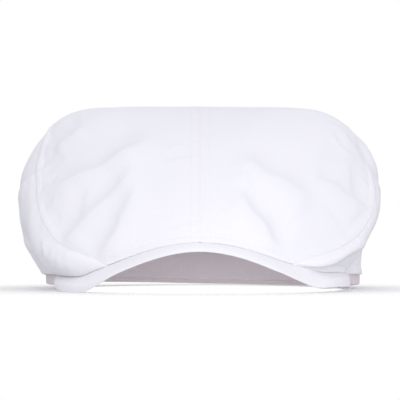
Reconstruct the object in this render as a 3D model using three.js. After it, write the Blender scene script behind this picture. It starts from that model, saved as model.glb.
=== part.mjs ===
// White cotton flat cap, worn as a chef's cap, at its real size.
//
// Millimetres, +Z up. The front of the peak faces -Y. Left is -X, as seen from the front.
// The origin is at the middle of the cap's footprint, on the surface that the cap rests on.
//
// The cap is sewn from two top panels that meet at a centre seam, two side panels that run
// from the front corners round to the back, a stiff curved peak and a sweatband inside.
// The crown is hollow and open below, as the worn cap is.

import * as THREE from "three";

// Walls and gaps
const CLOTH = 1.2; // doubled cotton twill of the panels
const BAND_THICK = 1.4; // sweatband
const PEAK_THICK = 3.2; // covered stiffener of the peak
const SEAM_GAP = 0.3; // between the two halves, and between the peak and the sweatband
const SIDE_GAP = 0.6; // between a side panel and the top panel above it

// Peak
const PEAK_REACH = 135; // from the origin to the front edge
const PEAK_HALF_WIDTH = 86.5;
const PEAK_SHIFT = 1.2; // the outline lies this far to the right
const PEAK_WIDEST_Y = -45;
const PEAK_SQUARE = 2.3; // exponent of the plan outline, 2 is an ellipse
const PEAK_FRONT_Z = 26.2; // top of the front edge in the middle
const PEAK_SLOPE = 0.27; // rise towards the head at the front edge
const PEAK_LEVEL = 20; // rise at which the slope has died out
const PEAK_ARCH = 63; // the smaller, the sharper the arch across
const PEAK_FLARE = { from: 64, to: 86, height: 6.3 }; // the corners curl up between these
const PEAK_TIP_ANGLE = 58; // degrees from the front to each end of the peak at the band

// Head opening, an ellipse in plan
const HEAD_X = 1.7; // the cap has slumped a little to the right
const HEAD_Y = 22;
const BAND_HALF_X = 95; // outer face of the sweatband
const BAND_HALF_Y = 101;
const BAND_HEIGHT = 28;

// Finenesses of the facets
const TOP_STEPS = { along: 27, across: 18 };
const SIDE_STEPS = { along: 36, down: 11 };
const PEAK_STEPS = { along: 36, out: 6 };
const BAND_STEPS = { round: 72, up: 2 };

// How folds fade
const EDGE_CALM = 0.08; // share of a panel over which they fade at a sewn edge
const FOLD_FADE = { before: 0.25, within: 0.15 }; // shares of a fold's length, past its end and inside
const FOLD_FACING = { none: 0.05, full: 0.45 }; // how squarely the cloth must face the fold's view

// Seams, as shares of a panel's width or length
const SEAM_INSET = 0.03; // where the slope of a panel at its seam is taken
const SEAM_WAY = 0.02; // how far down the side panel's own direction at its seam is taken
const SEAM_SPLIT = 0.9; // where the two side panels begin to part at the back

function table(columns, ...rows) {
  const names = columns.trim().split(/\s+/);
  return rows.map((row) => Object.fromEntries(names.map((name, i) => [name, row[i]])));
}

// Ribs of the top, one row each, from the hem on the peak to the back seam.
// Each runs from the centre seam (y, z) to the side seam on the left and on the right (x, y, z).
// full: how late the rib turns down on its way out; sweep: how late it bends back.
const RIBS = table(
  "centre_y centre_z  left_x left_y left_z  right_x right_y right_z  full sweep",
  [-127.5, 29.7, 57, -104, 15.2, 57, -104, 15.2, 1.75, 2.0],
  [-113, 44.5, 68, -95, 22.5, 69, -94, 21.5, 2.0, 2.0],
  [-93, 59, 82, -77, 28.5, 84, -74, 27, 2.3, 2.0],
  [-66, 75, 91.5, -53, 40.5, 95.5, -51, 36, 2.7, 2.0],
  [-36, 89.5, 96.5, -27, 55.5, 102.5, -28, 48, 3.2, 2.0],
  [-5, 100.3, 98, 0, 69.5, 105, -4, 61.5, 3.9, 2.0],
  [27, 108, 96.5, 25, 84, 100.5, 20, 77.5, 5.5, 2.0],
  [60, 111.2, 92.5, 51, 97.5, 90.5, 46, 97, 8.0, 2.2],
  [93, 106.5, 84.5, 76, 100.5, 83.5, 73, 101, 6.0, 2.4],
  [121, 87, 70, 96, 99, 70, 96, 99, 1.9, 3.1],
);

// Side panels, one row for each station from the front tip round to the back seam.
// lower_x, lower_y, lower_z: the lower edge; facing: degrees from the front, outwards.
// out, drop: pull of the cloth below the side seam; swell, rise: pull above the lower edge.
const SIDES = table(
  `lower_x lower_y lower_z facing
   left_out left_drop left_swell left_rise  right_out right_drop right_swell right_rise`,
  [57, -104, 13.2, 38, 0.2, 0.5, 0.2, 0.5, 0.2, 0.5, 0.2, 0.5],
  [67, -94, 9.3, 45, 4, 4, 3, 3, 4, 5, 2, 3],
  [77, -77, 8.9, 55, 8, 8, 7, 5, 8, 8, 3, 5],
  [84, -55, 8.8, 66, 12, 11, 9, 6, 10, 11, 2, 7],
  [84.8, -29, 9.0, 75, 18, 15, 11, 7, 12, 15, 2, 12],
  [93.8, -8, 6, 84, 23, 20, 10, 8, 15, 19, -1, 17],
  [97.2, 16, 4.8, 90, 28, 24, 9, 8, 24, 22, -2, 22],
  [97.4, 41, 4.2, 97, 32, 30, 9, 8, 37, 27, -2, 25],
  [91, 68, 3.8, 113, 27, 29, 11, 12, 32, 28, 2, 23],
  [76, 88, 3.6, 133, 20, 26, 15, 21, 22, 27, 11, 22],
  [55, 108.3, 3.6, 151, 15, 22, 16, 24, 15, 22, 15, 23],
  [28, 121.3, 3.4, 166, 14, 20, 16, 24, 14, 20, 16, 24],
  [0, 125.2, 3.4, 180, 14, 20, 16, 24, 14, 20, 16, 24],
);
const SEAM_ROWS = RIBS.length - 1; // stations up to the back corner
const BACK_ROWS = SIDES.length - RIBS.length; // stations along the back seam
const TEMPLE_STATION = 4; // where the lower edge leaves the peak for the sweatband

// Lower edge of the sweatband, one row for each step round from the front.
const BAND_EDGE_DEGREES = 30;
const BAND_EDGE = table(
  "left_z right_z",
  [35.2, 35.2],
  [24, 24],
  [4.6, 4.6],
  [2.6, 2.0],
  [2.4, 0],
  [1.8, 0],
  [0.6, 0.6],
);

// Main folds, as creases between two points. A front one is placed by x and z,
// a top or back one by x and y or x and z, a side one by y and z.
// deep: depth of the crease; wide: its half width; swell: height of the ridge beside it.
const FOLDS = table(
  "seen_from a1 b1 a2 b2 deep wide swell",
  ["front", -96, 58, -78, 66, 2.6, 5, 0.8],
  ["front", -80, 65, -38, 88, 3.0, 5.5, 1.2],
  ["front", -80, 26, -50, 62, 3.2, 5, 1.4],
  ["front", -50, 62, -36, 72, 1.6, 5, 0.6],
  ["front", -57, 22, -38, 60, 2.6, 5, 1.2],
  ["front", 22, 57, 52, 26, 2.6, 5, 1.2],
  ["front", 36, 80, 68, 60, 1.8, 8, 0.8],
  ["front", 68, 60, 92, 50, 1.4, 5, 0.6],
  ["front", 82, 58, 100, 46, 1.6, 4, 0.8],
  ["front", 74, 46, 84, 32, 1.2, 4, 0.6],
  ["front", -88, 82, -76, 92, 1.4, 5, 0.4],
  ["left", -8, 76, 24, 52, 1.0, 6, 0.5],
  ["left", -46, 18, 20, 30, 1.2, 6, 0.5],
  ["right", -30, 26, 30, 34, 1.6, 6, 0.6],
  ["right", 10, 66, 60, 50, 1.4, 7, 0.6],
  ["top", -70, 20, -20, 66, 1.4, 9, 0.6],
  ["top", 24, 30, 74, 52, 1.4, 9, 0.6],
  ["back", -60, 60, -14, 30, 1.6, 7, 0.6],
  ["back", 22, 34, 70, 66, 1.6, 7, 0.6],
);

const radians = THREE.MathUtils.degToRad;
const UP = new THREE.Vector3(0, 0, 1);

// A smooth value of one column, between the rows of a table.
function between(rows, column, place) {
  const last = rows.length - 1;
  const at = THREE.MathUtils.clamp(place, 0, last);
  const row = Math.min(Math.floor(at), last - 1);
  const value = (i) => rows[i][column];
  const here = value(row);
  const next = value(row + 1);
  const before = row > 0 ? value(row - 1) : 2 * here - next;
  const after = row + 2 <= last ? value(row + 2) : 2 * next - here;
  const part = at - row;
  const bend = 2 * before - 5 * here + 4 * next - after;
  const twist = 3 * (here - next) + after - before;
  return here + 0.5 * part * (next - before + part * (bend + part * twist));
}

// A point of the sweatband in plan, so many degrees round from the front, grown outwards.
function bandPoint(degrees, grown) {
  const angle = radians(degrees);
  return new THREE.Vector2(
    HEAD_X + (BAND_HALF_X + grown) * Math.sin(angle),
    HEAD_Y - (BAND_HALF_Y + grown) * Math.cos(angle),
  );
}

// Top face of the peak over a point in plan.
function peakTop(x, y) {
  const rise = PEAK_LEVEL * Math.tanh((PEAK_SLOPE * (y + PEAK_REACH)) / PEAK_LEVEL);
  const arch = Math.hypot(PEAK_ARCH, x) - PEAK_ARCH;
  const flare = THREE.MathUtils.smoothstep(Math.abs(x), PEAK_FLARE.from, PEAK_FLARE.to);
  return PEAK_FRONT_Z + rise - arch + PEAK_FLARE.height * flare;
}

// A point of the top on one side (-1 left, 1 right), before it is folded.
// out runs from the centre seam (0) to the side seam (1), station from the hem to the back.
function topPoint(side, station, out) {
  const name = side < 0 ? "left" : "right";
  const get = (column) => between(RIBS, column, station);
  const seamY = get(`${name}_y`);
  const seamZ = get(`${name}_z`);
  const bent = out ** get("sweep");
  const turned = out ** get("full");
  return new THREE.Vector3(
    side * get(`${name}_x`) * out,
    get("centre_y") + (seamY - get("centre_y")) * bent,
    get("centre_z") + (seamZ - get("centre_z")) * turned,
  );
}

// The side seam from the front tip to the back corner, then along the back to the centre.
function seamPoint(side, station) {
  if (station <= SEAM_ROWS) return topPoint(side, station, 1);
  return topPoint(side, SEAM_ROWS, Math.max(0, 1 - (station - SEAM_ROWS) / BACK_ROWS));
}

// A point of a side panel before it is folded, from its seam (0) to its lower edge (1).
function sidePoint(side, station, down) {
  const name = side < 0 ? "left" : "right";
  const get = (column) => between(SIDES, column, station);
  const angle = radians(get("facing"));
  const outwards = new THREE.Vector3(side * Math.sin(angle), -Math.cos(angle), 0);
  const seam = seamPoint(side, station);
  const edge = new THREE.Vector3(side * get("lower_x"), get("lower_y"), get("lower_z"));
  edge.x += HEAD_X * THREE.MathUtils.smoothstep(station, 0, TEMPLE_STATION);
  const high = seam.clone().addScaledVector(outwards, get(`${name}_out`));
  high.addScaledVector(UP, -get(`${name}_drop`));
  const low = edge.clone().addScaledVector(outwards, get(`${name}_swell`));
  low.addScaledVector(UP, get(`${name}_rise`));
  return new THREE.CubicBezierCurve3(seam, high, low, edge).getPoint(down);
}

const SEEN_FROM = {
  front: { a: "x", b: "z", towards: new THREE.Vector3(0, -1, 0) },
  back: { a: "x", b: "z", towards: new THREE.Vector3(0, 1, 0) },
  left: { a: "y", b: "z", towards: new THREE.Vector3(-1, 0, 0) },
  right: { a: "y", b: "z", towards: new THREE.Vector3(1, 0, 0) },
  top: { a: "x", b: "y", towards: UP },
};

// How far the cloth stands out or in at a point, from all the folds.
function foldHeight(point, normal) {
  let height = 0;
  for (const fold of FOLDS) {
    const view = SEEN_FROM[fold.seen_from];
    const squarely = normal.dot(view.towards);
    const facing = THREE.MathUtils.smoothstep(squarely, FOLD_FACING.none, FOLD_FACING.full);
    const start = new THREE.Vector2(fold.a1, fold.b1);
    const run = new THREE.Vector2(fold.a2, fold.b2).sub(start);
    const from = new THREE.Vector2(point[view.a], point[view.b]).sub(start);
    const along = from.dot(run) / run.lengthSq();
    const off = from.cross(run) / run.length();
    const fadeAt = (way) => THREE.MathUtils.smoothstep(way, -FOLD_FADE.before, FOLD_FADE.within);
    const fade = fadeAt(along) * fadeAt(1 - along);
    const crease = fold.deep * Math.exp(-((off / fold.wide) ** 2));
    const ridge = fold.swell * Math.exp(-(((off - 2 * fold.wide) / fold.wide) ** 2));
    height += facing * fade * (ridge - crease);
  }
  return height;
}

// Folds die out at sewn edges, where the seam holds the cloth. Each value is a way from an edge.
function edgeCalm(...ways) {
  return ways.reduce((calm, way) => calm * THREE.MathUtils.smoothstep(way, 0, EDGE_CALM), 1);
}

// Outward normal of a surface, from two small steps on it.
function normalOf(surface, i, j, flip) {
  const step = 0.01;
  const along = surface(i + step, j).sub(surface(i - step, j));
  const across = surface(i, j + step).sub(surface(i, j - step));
  return along.cross(across).multiplyScalar(flip).normalize();
}

// A solid wall between a grid of outer points and a grid of inner points.
// turned: the grid runs the other way round; ring: its last row is joined to its first.
function wall(outer, inner, { turned = false, ring = false }) {
  const rows = outer.length;
  const columns = outer[0].length;
  const lastColumn = columns - 1;
  const faces = [];
  const out = (i, j) => (i % rows) * columns + j;
  const back = (i, j) => rows * columns + out(i, j);
  const quad = (a, b, c, d) => {
    if (turned) faces.push(a, c, b, a, d, c);
    else faces.push(a, b, c, a, c, d);
  };
  for (let i = 0; i < (ring ? rows : rows - 1); i += 1) {
    for (let j = 0; j < lastColumn; j += 1) {
      quad(out(i, j), out(i + 1, j), out(i + 1, j + 1), out(i, j + 1));
      quad(back(i, j), back(i, j + 1), back(i + 1, j + 1), back(i + 1, j));
    }
    quad(out(i, 0), back(i, 0), back(i + 1, 0), out(i + 1, 0));
    quad(out(i, lastColumn), out(i + 1, lastColumn), back(i + 1, lastColumn), back(i, lastColumn));
  }
  for (let j = 0; j < lastColumn && !ring; j += 1) {
    quad(out(0, j), out(0, j + 1), back(0, j + 1), back(0, j));
    quad(out(rows - 1, j), back(rows - 1, j), back(rows - 1, j + 1), out(rows - 1, j + 1));
  }
  const geometry = new THREE.BufferGeometry();
  const positions = [...outer.flat(), ...inner.flat()].flatMap((point) => point.toArray());
  geometry.setAttribute("position", new THREE.Float32BufferAttribute(positions, 3));
  geometry.setIndex(faces);
  geometry.computeVertexNormals();
  return geometry;
}

const topNormal = (side, station, out) =>
  normalOf((i, j) => topPoint(side, i, Math.abs(j)), station, Math.max(out, SEAM_INSET), -side);

const sideNormal = (side, station, down) =>
  normalOf((i, j) => sidePoint(side, i, j), station, down, -side);

// The two panels share one direction through the cloth along their seam.
function seamNormal(side, station) {
  const below = sideNormal(side, station, SEAM_INSET);
  const onBack = station > SEAM_ROWS;
  const onSeam = onBack ? 1 - (station - SEAM_ROWS) / BACK_ROWS : 1;
  const row = Math.min(station, SEAM_ROWS - SEAM_INSET);
  return topNormal(side, row, Math.min(onSeam, 1 - SEAM_INSET)).add(below).normalize();
}

function grid(rows, columns, place) {
  return Array.from({ length: rows + 1 }, (_, i) =>
    Array.from({ length: columns + 1 }, (_unused, j) => place(i / rows, j / columns)),
  );
}

// A wall between the surface that place gives at depth 0 and the one that it gives deeper.
function plate(rows, columns, thickness, turned, place) {
  const outer = grid(rows, columns, (i, j) => place(i, j, 0));
  const inner = grid(rows, columns, (i, j) => place(i, j, thickness));
  return wall(outer, inner, { turned });
}

function topPanel(side) {
  const place = (i, j, depth) => {
    const station = i * SEAM_ROWS;
    const point = topPoint(side, station, j);
    const normal = topNormal(side, station, j);
    const fold = foldHeight(point, normal);
    if (j === 1) normal.copy(seamNormal(side, station));
    if (i === 1) normal.copy(seamNormal(side, SEAM_ROWS + (1 - j) * BACK_ROWS));
    if (j === 0) normal.setX(0).normalize();
    const moved = point.addScaledVector(normal, fold * edgeCalm(i, 1 - i, 1 - j) - depth);
    moved.x += side * SEAM_GAP * 0.5;
    return moved;
  };
  return plate(TOP_STEPS.along, TOP_STEPS.across, CLOTH, side > 0, place);
}

function sidePanel(side) {
  const stations = SIDES.length - 1;
  const place = (i, j, depth) => {
    const station = i * stations;
    const point = sidePoint(side, station, j);
    const normal = sideNormal(side, station, j);
    const fold = foldHeight(point, normal);
    if (j === 0) normal.copy(seamNormal(side, station));
    if (i === 1) normal.setX(0).normalize();
    const moved = point.addScaledVector(normal, fold * edgeCalm(0.5 * j, 1 - j) - depth);
    const away = sidePoint(side, station, SEAM_WAY).sub(sidePoint(side, station, 0)).normalize();
    moved.addScaledVector(away, SIDE_GAP * (1 - j) ** 4);
    moved.x += side * SEAM_GAP * 0.5 * THREE.MathUtils.smoothstep(i, SEAM_SPLIT, 1);
    return moved;
  };
  return plate(SIDE_STEPS.along, SIDE_STEPS.down, CLOTH, side > 0, place);
}

// The peak is a curved plate from the sweatband out to its rounded front edge.
function peak() {
  const round = 2 / PEAK_SQUARE;
  const reach = PEAK_REACH + PEAK_WIDEST_Y;
  const place = (i, j, depth) => {
    const turn = 2 * i - 1;
    const root = bandPoint(turn * PEAK_TIP_ANGLE, SEAM_GAP);
    const angle = (turn * Math.PI) / 2;
    const tip = new THREE.Vector2(
      PEAK_SHIFT + Math.sign(turn) * PEAK_HALF_WIDTH * Math.abs(Math.sin(angle)) ** round,
      PEAK_WIDEST_Y - reach * Math.max(0, Math.cos(angle)) ** round,
    );
    const spot = root.lerp(tip, j);
    return new THREE.Vector3(spot.x, spot.y, peakTop(spot.x, spot.y) - depth);
  };
  return plate(PEAK_STEPS.along, PEAK_STEPS.out, PEAK_THICK, true, place);
}

// The sweatband is a closed ring. Its lower edge rises in front to meet the peak.
function sweatband() {
  const ringOf = (shrink) =>
    grid(BAND_STEPS.round, BAND_STEPS.up, (i, j) => {
      const degrees = i * 360;
      const onLeft = degrees > 180;
      const rows = (onLeft ? 360 - degrees : degrees) / BAND_EDGE_DEGREES;
      const low = Math.max(0, between(BAND_EDGE, onLeft ? "left_z" : "right_z", rows));
      const spot = bandPoint(degrees, -shrink);
      return new THREE.Vector3(spot.x, spot.y, low + j * BAND_HEIGHT);
    }).slice(0, BAND_STEPS.round);
  return wall(ringOf(0), ringOf(BAND_THICK), { ring: true });
}

const WHITE_TWILL = { color: 0xf6f5f9, roughness: 0.92, metalness: 0 };
const PEAK_TWILL = { color: 0xf3f2f7, roughness: 0.9, metalness: 0 };
const TAUPE_COTTON = { color: 0xb5acb0, roughness: 0.95, metalness: 0 };

const cap = new THREE.Group();

function add(name, geometry, finish) {
  const mesh = new THREE.Mesh(geometry, new THREE.MeshStandardMaterial(finish));
  mesh.name = name;
  cap.add(mesh);
}

add("top_panel_left", topPanel(-1), WHITE_TWILL);
add("top_panel_right", topPanel(1), WHITE_TWILL);
add("side_panel_left", sidePanel(-1), WHITE_TWILL);
add("side_panel_right", sidePanel(1), WHITE_TWILL);
add("peak", peak(), PEAK_TWILL);
add("sweatband", sweatband(), TAUPE_COTTON);

export default cap;
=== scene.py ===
# %% [markdown]
# # A white flat cap for the kitchen
# The cap is cotton twill: two top panels and two side panels, sewn to a stiff peak, with a taupe
# sweatband inside. The frame's plain solids hold its true sizes. This lesson sews a finer cap on the
# same lines, with rounded edges, folds, puckers, stitches and weave.

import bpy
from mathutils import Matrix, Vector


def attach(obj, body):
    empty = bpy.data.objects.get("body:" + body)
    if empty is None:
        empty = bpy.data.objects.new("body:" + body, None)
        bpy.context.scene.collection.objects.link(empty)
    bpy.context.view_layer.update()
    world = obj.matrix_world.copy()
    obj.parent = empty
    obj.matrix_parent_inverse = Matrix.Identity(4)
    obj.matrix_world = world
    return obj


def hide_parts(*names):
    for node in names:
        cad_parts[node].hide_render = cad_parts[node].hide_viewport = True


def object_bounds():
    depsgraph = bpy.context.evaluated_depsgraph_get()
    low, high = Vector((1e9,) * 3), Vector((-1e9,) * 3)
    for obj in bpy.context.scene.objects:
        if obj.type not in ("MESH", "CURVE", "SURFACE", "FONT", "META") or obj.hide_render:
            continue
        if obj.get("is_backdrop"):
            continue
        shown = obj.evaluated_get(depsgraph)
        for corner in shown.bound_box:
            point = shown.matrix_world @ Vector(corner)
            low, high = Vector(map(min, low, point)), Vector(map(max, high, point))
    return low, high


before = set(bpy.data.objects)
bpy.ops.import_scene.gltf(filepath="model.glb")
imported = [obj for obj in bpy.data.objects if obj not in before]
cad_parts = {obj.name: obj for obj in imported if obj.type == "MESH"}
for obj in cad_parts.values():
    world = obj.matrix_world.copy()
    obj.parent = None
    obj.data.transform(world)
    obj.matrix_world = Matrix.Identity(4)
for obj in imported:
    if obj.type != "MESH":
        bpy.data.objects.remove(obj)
cad_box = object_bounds()
print("frame nodes:", sorted(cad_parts))

# %% Other libraries
import math

import bpy
import numpy as np
from mathutils import Vector

MM = 0.001  # the cutting tables below are in millimetres, the scene is in metres

# %% [markdown]
# ## Camera
# The photograph was taken from straight in front with a long lens, a little above the table. An
# orthographic camera would be simpler, but then the far rim would look too large. The tilt puts the
# horizon on the right row, so the lens needs no shift.

# %% Camera
FRAME_PIXELS = 400
FOCAL_PIXELS = 3000
HORIZON_ROW = 223.5
CAMERA_DISTANCE = 1.8
CAMERA_HEIGHT = 0.039

scene = bpy.context.scene


def added(name, data):
    """A new object of the scene."""
    made = bpy.data.objects.new(name, data)
    scene.collection.objects.link(made)
    return made


camera_data = bpy.data.cameras.new("camera")
camera_data.sensor_width = 36
camera_data.lens = camera_data.sensor_width * FOCAL_PIXELS / FRAME_PIXELS
camera_data.clip_end = 100
camera = added("camera", camera_data)
camera.location = (0, -CAMERA_DISTANCE, CAMERA_HEIGHT)
tilt = math.atan((HORIZON_ROW - FRAME_PIXELS / 2) / FOCAL_PIXELS)
camera.rotation_euler = (math.pi / 2 + tilt, 0, 0)
scene.camera = camera
print(f"lens {camera_data.lens:.0f} mm, tilt {math.degrees(tilt):.2f} degrees")

# %% [markdown]
# ## The pattern tables
# A tailor keeps a cap as paper pieces. Here each panel is a few sections, one row each, with smooth
# curves between them. A scan would hold the same form in thousands of points that nobody can read.

# %% Tables and smooth values
def table(columns, *rows):
    """Rows of numbers as one array for each named column."""
    return {name: np.array([row[i] for row in rows]) for i, name in enumerate(columns.split())}


def between(rows, column, place):
    """A smooth value of one column between the rows of a table."""
    values = rows[column]
    last = len(values) - 1
    at = np.clip(place, 0, last)
    row = np.minimum(np.floor(at).astype(int), last - 1)
    ends = [[2 * values[0] - values[1]], values, [2 * values[-1] - values[-2]]]
    before, here, after, later = (np.concatenate(ends)[row + k] for k in range(4))
    part = at - row
    bend = 2 * before - 5 * here + 4 * after - later
    twist = 3 * (here - after) + later - before
    return here + 0.5 * part * (after - before + part * (bend + part * twist))


def smooth(value, low, high):
    """0 below low, 1 above high, and a soft step between."""
    part = np.clip((value - low) / (high - low), 0, 1)
    return part * part * (3 - 2 * part)


def bell(value, width):
    return np.exp(-((value / width) ** 2))


# %% Ribs of the top, from the hem on the peak to the back
# Each runs from the centre seam to the side seam on the left and on the right.
# full: how late the rib turns down on its way out; sweep: how late it bends back.
RIBS = table(
    "centre_y centre_z left_x left_y left_z right_x right_y right_z full sweep",
    [-127.5, 29.7, 52.5, -107.6, 16.5, 52.5, -107.6, 16.5, 1.75, 2.0],
    [-113, 44.5, 68, -95, 22.5, 69, -94, 21.5, 2.0, 2.0],
    [-93, 59, 82, -77, 28.5, 84, -74, 27, 2.3, 2.0],
    [-66, 75, 91.5, -53, 40.5, 95.5, -51, 36, 2.7, 2.0],
    [-36, 89.5, 96.5, -27, 55.5, 102.5, -28, 48, 3.2, 2.0],
    [-5, 100.3, 98, 0, 69.5, 105, -4, 61.5, 3.9, 2.0],
    [27, 108, 96.5, 25, 84, 100.5, 20, 77.5, 5.5, 2.0],
    [60, 111.2, 92.5, 51, 97.5, 90.5, 46, 97, 8.0, 2.2],
    [93, 106.5, 84.5, 76, 100.5, 83.5, 73, 101, 6.0, 2.4],
    [121, 87, 70, 96, 99, 70, 96, 99, 1.9, 3.1],
)

# %% Sections of the side panels, from the front tip round to the back seam
# lower_x, lower_y, lower_z: the lower edge; facing: degrees from the front, outwards.
# out, drop: pull of the cloth below the side seam; swell, rise: pull above the lower edge.
SIDES = table(
    """lower_x lower_y lower_z facing
    left_out left_drop left_swell left_rise right_out right_drop right_swell right_rise""",
    [52.5, -107.6, 14.5, 36, 0.2, 0.5, 0.2, 0.5, 0.2, 0.5, 0.2, 0.5],
    [67, -94, 9.3, 45, 5, 4, 5, 2, 4, 5, 2, 3],
    [77, -77, 8.9, 55, 9, 8, 11, 3.5, 8, 8, 3, 5],
    [84, -55, 8.8, 66, 12, 11, 13, 4.5, 10, 11, 2, 7],
    [84.8, -29, 9.0, 75, 18, 15, 13, 5, 12, 15, 2, 12],
    [93.8, -8, 8.8, 84, 23, 20, 10, 8, 15, 19, -1, 17],
    [97.2, 16, 8.6, 90, 28, 24, 9, 8, 24, 22, -2, 22],
    [97.4, 41, 7.6, 97, 32, 30, 9, 8, 37, 27, -2, 25],
    [91, 68, 5.6, 113, 27, 29, 11, 12, 32, 28, 2, 23],
    [76, 88, 4.4, 133, 20, 26, 15, 21, 22, 27, 11, 22],
    [55, 108.3, 3.6, 151, 15, 22, 16, 24, 15, 22, 15, 23],
    [28, 121.3, 3.4, 166, 14, 20, 16, 24, 14, 20, 16, 24],
    [0, 125.2, 3.4, 180, 14, 20, 16, 24, 14, 20, 16, 24],
)
LAST_RIB = len(RIBS["full"]) - 1
LAST_SECTION = len(SIDES["facing"]) - 1
BACK_SECTIONS = LAST_SECTION - LAST_RIB
TEMPLE = 4  # the section where the side panel's lower edge leaves the peak
print(LAST_RIB + 1, "ribs and", LAST_SECTION + 1, "side sections")

# %% Points of the panels
HEAD = np.array([1.7, 22.0])  # middle of the head opening, where the cap has slumped a little
UP = np.array([0.0, 0.0, 1.0])
TRIM = table(  # how far the cap's sides are taken in, for every 10 mm of height from the table up
    "left right",
    [1.0, 1.0], [0.8, 1.2], [0.4, 2.4], [0.2, 3.9], [1.0, 3.0], [1.6, 2.3], [0.8, 1.0],
    [0.0, 0.9], [0.3, 0.8], [0.0, -1.5], [0.0, -1.2], [0.0, 0.0],
)
TRIM_FROM = 48  # height from which the side seam is taken in too


def taken_in(side, points, lowest=0):
    """Points moved sideways by the trim, which grows towards the sides of the cap."""
    reach = smooth(np.abs(points[..., 0]), 68, 94)
    if lowest:
        reach = reach * smooth(points[..., 2], lowest, lowest + 18)
    trim = between(TRIM, side_word(side), points[..., 2] / 10) * reach
    return points - np.array([side, 0.0, 0.0]) * trim[..., None]


def side_word(side):
    return "left" if side < 0 else "right"


def top_point(side, rib, out):
    """A point of the top from the centre seam (out 0) to the side seam (out 1)."""
    word = side_word(side)
    rib, out = np.broadcast_arrays(rib, out)
    value = lambda name: between(RIBS, name, rib)
    centre_y, centre_z = value("centre_y"), value("centre_z")
    x = side * value(word + "_x") * out
    y = centre_y + (value(word + "_y") - centre_y) * out ** value("sweep")
    z = centre_z + (value(word + "_z") - centre_z) * out ** value("full")
    return taken_in(side, np.stack([x, y, z], -1), TRIM_FROM)


def seam_point(side, section):
    """The side seam up to the back corner, then along the back of the top to the centre."""
    out = np.clip(1 - (section - LAST_RIB) / BACK_SECTIONS, 0, 1)
    return top_point(side, np.minimum(section, LAST_RIB), out)


def side_point(side, section, down):
    """A point of a side panel from its seam (down 0) to its lower edge (down 1)."""
    word = side_word(side)
    section, down = np.broadcast_arrays(section, down)
    value = lambda name: between(SIDES, name, section)
    angle = np.radians(value("facing"))
    outwards = np.stack([side * np.sin(angle), -np.cos(angle), 0 * angle], -1)
    edge_x = side * value("lower_x") + HEAD[0] * smooth(section, 0, TEMPLE)
    seam = seam_point(side, section)
    edge = taken_in(side, np.stack([edge_x, value("lower_y"), value("lower_z")], -1))

    def pull(start, level, lift, sign):
        out = value(f"{word}_{level}")[..., None] * outwards
        return start + out + sign * value(f"{word}_{lift}")[..., None] * UP

    high, low = pull(seam, "out", "drop", -1), pull(edge, "swell", "rise", 1)
    t = down[..., None]
    back = 1 - t
    curve = back**3 * seam + 3 * back**2 * t * high + 3 * back * t**2 * low + t**3 * edge
    return curve + 3 * back * t * (taken_in(side, curve) - curve)


# %% [markdown]
# ## A cloth wall with soft edges
# Real hems are cloth folded on itself, so their edges are round. A Solidify modifier leaves them
# square. Here the outer and the inner face draw together over the last half millimetre and share
# their border points, which also closes the wall. The grid's lines lie at set distances from each
# edge, so that seams get many narrow faces and the open cloth gets few.

# %% Grids
EDGE_WAYS = np.array([  # the set distances, in millimetres
    0, 0.07, 0.18, 0.33, 0.6, 0.9, 1.3, 1.8, 2.2, 2.5, 2.8,
    3.2, 3.6, 4.0, 4.5, 5.0, 5.4, 5.8, 6.4, 7.2, 8.4,
])
CLOTH = 1.2


def unit(vectors):
    return vectors / np.maximum(np.linalg.norm(vectors, axis=-1, keepdims=True), 1e-9)


def ways_along(points, axis):
    """How far each point of a grid lies from the first one, along one axis."""
    steps = np.linalg.norm(np.diff(points, axis=axis), axis=-1)
    return np.insert(np.cumsum(steps, axis=axis), 0, 0, axis=axis)


def spaced(line_at, lines, middle):
    """For each line, the parameters of points at set ways from both ends and even ones between."""
    fine = np.linspace(0, 1, 401)
    way = ways_along(line_at(lines[:, None], fine[None, :]), 1)
    length = way[:, -1:]
    near = EDGE_WAYS * np.minimum(1, 0.45 * length / EDGE_WAYS[-1])
    share = np.linspace(0, 1, middle + 2)[1:-1]
    inner = near[:, -1:] + (length - 2 * near[:, -1:]) * share
    wanted = np.concatenate([near, inner, length - near[:, ::-1]], 1)
    return np.stack([np.interp(w, y, fine) for w, y in zip(wanted, way)])


def lay_out(point_at, last_row, rows, columns, guide, flip):
    """A panel's grid: its points, normals, and ways in millimetres from its four edges."""
    guide_line = lambda _, part: point_at(part * last_row, guide + 0 * part)
    row = spaced(guide_line, np.zeros(1), rows)[0] * last_row
    column = spaced(point_at, row, columns)
    points = point_at(row[:, None], column)
    along, across = np.gradient(points, axis=0), np.gradient(points, axis=1)
    start, first = ways_along(points, 0), ways_along(points, 1)
    return {
        "row": row[:, None] + 0 * column, "column": column, "points": points,
        "normals": unit(np.cross(along, across)) * flip,
        "start": start, "end": start[-1:] - start, "first": first, "last": first[:, -1:] - first,
    }


EDGES = ("start", "end", "first", "last")


def near_edge(panel, *edges):
    """The way to the nearest of the named edges, or of all four."""
    return np.minimum.reduce([panel[edge] for edge in edges or EDGES])


# %% Surface directions that two panels share at their seam
def slope(point_at, side, row, column):
    step = 0.01
    along = point_at(side, row + step, column) - point_at(side, row - step, column)
    across = point_at(side, row, column + step) - point_at(side, row, column - step)
    return unit(np.cross(along, across)) * -side


def seam_normal(side, section):
    """The mean of the two panels' directions along their seam."""
    inset = 0.03
    below = slope(side_point, side, section, inset + 0 * section)
    on_back = np.clip(1 - (section - LAST_RIB) / BACK_SECTIONS, 2 * inset, 1 - inset)
    return unit(slope(top_point, side, np.minimum(section, LAST_RIB - inset), on_back) + below)


def lean(normals, target, way, reach):
    """Turns normals towards target within reach of an edge."""
    weight = bell(way, reach)[..., None]
    return unit(normals * (1 - weight) + target * weight)


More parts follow.
